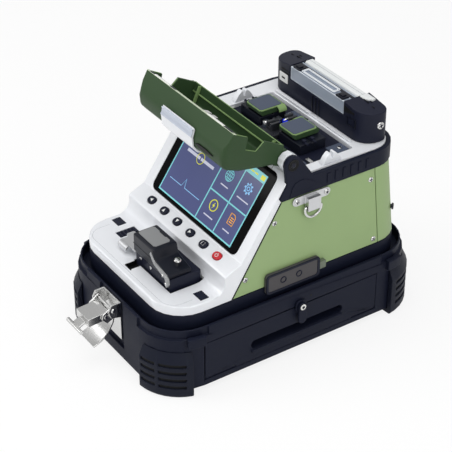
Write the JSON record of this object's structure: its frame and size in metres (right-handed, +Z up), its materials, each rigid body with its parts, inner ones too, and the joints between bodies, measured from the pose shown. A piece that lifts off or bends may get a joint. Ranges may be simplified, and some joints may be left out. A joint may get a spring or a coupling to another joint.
{
  "type": "fiber fusion splicer",
  "caption": "Bench-top optical fibre fusion splicer standing in a carrying tray with a drawer; hinged wind cover, sloped display, keys, splicing stage, tube heater and cleaver.",
  "frame": {"origin": "on the ground under the middle of the whole footprint, latch included", "axes": "+X to the operator's right, towards the drawer front; +Y to the back; +Z up"},
  "size_m": [0.1548, 0.2644, 0.191],
  "materials": {
    "navy_plastic": "fine moulded texture",
    "black_rubber": "satin",
    "grey_rubber": "satin, slightly see-through",
    "silver_paint": "silver paint, satin",
    "green_panel": "satin paint",
    "dark_green_plastic": "satin",
    "bright_steel": "polished",
    "circuit_board": "matt",
    "battery_wrap": "satin wrap",
    "display_glass": "clear, black border",
    "red_key": "satin",
    "dark_plastic": "satin",
    "dark_ceramic": "satin",
    "clear_plastic": "clear",
    "pale_plastic": "satin"
  },
  "bodies": {
    "splicer": {"case_tray": "navy_plastic", "top_trim": "navy_plastic", "bumper_front_left": "black_rubber", "bumper_front_right": "black_rubber", "bumper_rear_left": "black_rubber", "bumper_rear_right": "black_rubber", "front_bezel": "silver_paint", "top_frame": "silver_paint", "fibre_guide_left": "silver_paint", "fibre_guide_right": "silver_paint", "side_panel_left": "green_panel", "side_panel_right": "green_panel", "rear_panel": "green_panel", "front_latch_plate": "bright_steel", "front_latch_pin": "bright_steel", "cover_pin_left": "bright_steel", "cover_pin_right": "bright_steel", "strap_bracket_left": "bright_steel", "strap_bracket_right": "bright_steel", "electrode_front": "bright_steel", "electrode_rear": "bright_steel", "feed_motor_left": "bright_steel", "feed_motor_right": "bright_steel", "heater_tray": "bright_steel", "cleaver_guide_plate": "bright_steel", "main_board": "circuit_board", "port_block": "circuit_board", "display_panel": "circuit_board", "battery_pack": "battery_wrap", "display_glass": "display_glass", "chassis_pan": "dark_plastic", "stage_plate": "dark_plastic", "microscope_front": "dark_plastic", "microscope_rear": "dark_plastic", "heater_housing": "dark_plastic", "cleaver_body": "dark_plastic", "v_groove_block": "dark_ceramic", "heater_top_cover": "pale_plastic"},
    "drawer": {"drawer": "navy_plastic", "drawer_latch_screw": "bright_steel"},
    "turn_latch": {"drawer_turn_latch": "navy_plastic"},
    "latch_lever": {"front_latch_lever": "bright_steel"},
    "latch_hook": {"front_latch_hook": "bright_steel"},
    "key_back": {"key_back": "dark_plastic"},
    "key_up": {"key_up": "dark_plastic"},
    "key_down": {"key_down": "dark_plastic"},
    "key_right": {"key_right": "dark_plastic"},
    "key_set": {"key_set": "dark_plastic"},
    "power_key": {"power_key": "red_key"},
    "port_flap": {"port_cover": "grey_rubber"},
    "strap_ring_right": {"strap_ring_right": "bright_steel"},
    "strap_ring_left": {"strap_ring_left": "bright_steel"},
    "wind_cover": {"wind_cover": "dark_green_plastic", "wind_cover_handle": "silver_paint"},
    "carriage_right": {"carriage_right": "dark_plastic"},
    "carriage_left": {"carriage_left": "dark_plastic"},
    "clamp_right": {"clamp_lever_right": "dark_green_plastic"},
    "clamp_left": {"clamp_lever_left": "dark_green_plastic"},
    "heater_lid": {"heater_lid": "clear_plastic"},
    "cleaver_arm": {"cleaver_arm": "dark_plastic"}
  },
  "joints": [
    {"name": "drawer_slide", "type": "slide", "parent": "splicer", "child": "drawer", "axis": [1, 0, 0], "range_m": [0, 0.11]},
    {"name": "turn_latch_pivot", "type": "hinge", "parent": "drawer", "child": "turn_latch", "pos_m": [0.0753, 0.0154, 0.042], "axis": [1, 0, 0], "range_deg": [-90, 90]},
    {"name": "latch_lever_pivot", "type": "hinge", "parent": "splicer", "child": "latch_lever", "pos_m": [0, -0.1051, 0.048], "axis": [1, 0, 0], "range_deg": [-60, 18]},
    {"name": "latch_hook_pivot", "type": "hinge", "parent": "latch_lever", "child": "latch_hook", "pos_m": [0, -0.1101, 0.0435], "axis": [1, 0, 0], "range_deg": [-40, 25]},
    {"name": "key_back_press", "type": "slide", "parent": "splicer", "child": "key_back", "axis": [0, 0.4166, -0.9091], "range_m": [0, 0.0008], "stiffness_N_per_m": 300},
    {"name": "key_up_press", "type": "slide", "parent": "splicer", "child": "key_up", "axis": [0, 0.4166, -0.9091], "range_m": [0, 0.0008], "stiffness_N_per_m": 300},
    {"name": "key_down_press", "type": "slide", "parent": "splicer", "child": "key_down", "axis": [0, 0.4166, -0.9091], "range_m": [0, 0.0008], "stiffness_N_per_m": 300},
    {"name": "key_right_press", "type": "slide", "parent": "splicer", "child": "key_right", "axis": [0, 0.4166, -0.9091], "range_m": [0, 0.0008], "stiffness_N_per_m": 300},
    {"name": "key_set_press", "type": "slide", "parent": "splicer", "child": "key_set", "axis": [0, 0.4166, -0.9091], "range_m": [0, 0.0008], "stiffness_N_per_m": 300},
    {"name": "power_key_press", "type": "slide", "parent": "splicer", "child": "power_key", "axis": [0, 0.4166, -0.9091], "range_m": [0, 0.0008], "stiffness_N_per_m": 300},
    {"name": "port_flap_fold", "type": "hinge", "parent": "splicer", "child": "port_flap", "pos_m": [0.0686, 0.0139, 0.0577], "axis": [0, 1, 0], "range_deg": [0, 80]},
    {"name": "strap_ring_right_swing", "type": "hinge", "parent": "splicer", "child": "strap_ring_right", "pos_m": [0.0687, 0.0275, 0.1205], "axis": [0, -1, 0], "range_deg": [0, 110]},
    {"name": "strap_ring_left_swing", "type": "hinge", "parent": "splicer", "child": "strap_ring_left", "pos_m": [-0.0687, 0.0275, 0.1205], "axis": [0, 1, 0], "range_deg": [0, 110]},
    {"name": "wind_cover_hinge", "type": "hinge", "parent": "splicer", "child": "wind_cover", "pos_m": [0, 0.0113, 0.158], "axis": [1, 0, 0], "range_deg": [-155, 0]},
    {"name": "carriage_right_feed", "type": "slide", "parent": "splicer", "child": "carriage_right", "axis": [1, 0, 0], "range_m": [-0.0015, 0.0015]},
    {"name": "carriage_left_feed", "type": "slide", "parent": "splicer", "child": "carriage_left", "axis": [1, 0, 0], "range_m": [-0.0015, 0.0015]},
    {"name": "clamp_right_hinge", "type": "hinge", "parent": "carriage_right", "child": "clamp_right", "pos_m": [0.0115, 0.0586, 0.1527], "axis": [-1, 0, 0], "range_deg": [0, 75]},
    {"name": "clamp_left_hinge", "type": "hinge", "parent": "carriage_left", "child": "clamp_left", "pos_m": [-0.0115, 0.0586, 0.1527], "axis": [-1, 0, 0], "range_deg": [0, 75]},
    {"name": "heater_lid_hinge", "type": "hinge", "parent": "splicer", "child": "heater_lid", "pos_m": [0, 0.0918, 0.1704], "axis": [-1, 0, 0], "range_deg": [0, 90]},
    {"name": "cleaver_arm_hinge", "type": "hinge", "parent": "splicer", "child": "cleaver_arm", "pos_m": [0.0386, -0.0763, 0.0817], "axis": [0, 1, 0], "range_deg": [0, 60]}
  ]
}
